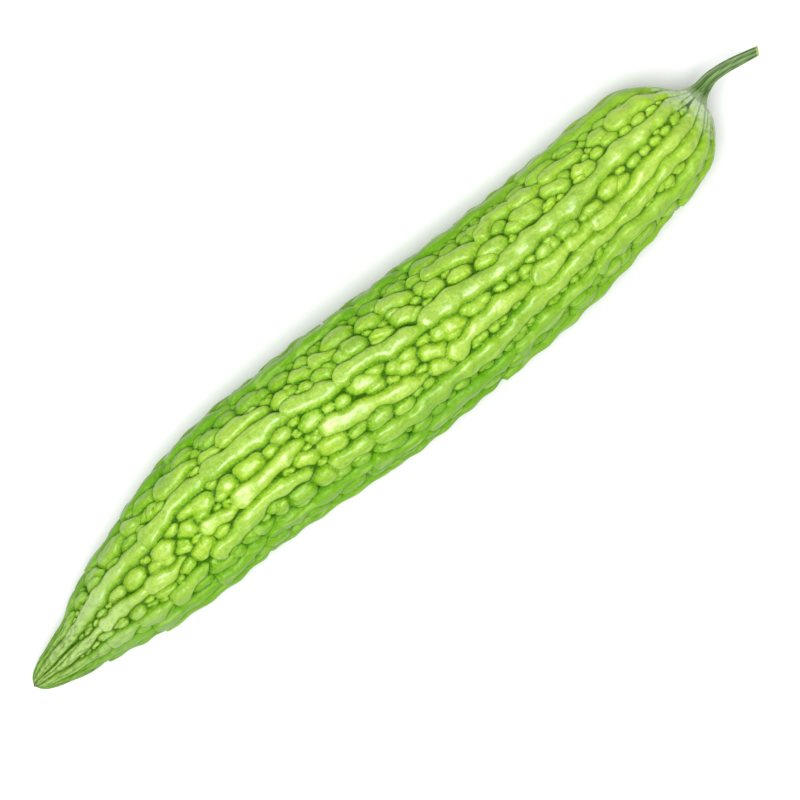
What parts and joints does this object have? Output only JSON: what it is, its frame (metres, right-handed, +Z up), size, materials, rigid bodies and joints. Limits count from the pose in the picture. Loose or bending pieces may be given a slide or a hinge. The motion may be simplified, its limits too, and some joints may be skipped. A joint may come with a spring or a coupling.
{
  "type": "bitter gourd",
  "caption": "Whole bitter gourd as picked, lying on its side: a slender, tapering, ribbed and warty green fruit with its short bent stalk.",
  "frame": {"origin": "on the surface that the gourd lies on, under the middle of its overall length and width", "axes": "+X along its length from the blossom tip to the stalk, +Z up, +Y to its left seen from the tip end looking towards the stalk"},
  "size_m": [0.3288, 0.06, 0.0542],
  "materials": {
    "fruit_skin": "fresh, waxy, lightly glossy living skin in mid to pale green",
    "stalk_skin": "dull green ridged living stalk, paler at its foot and its cut end"
  },
  "bodies": {
    "root": {"fruit": "fruit_skin", "stem": "stalk_skin"}
  },
  "joints": []
}
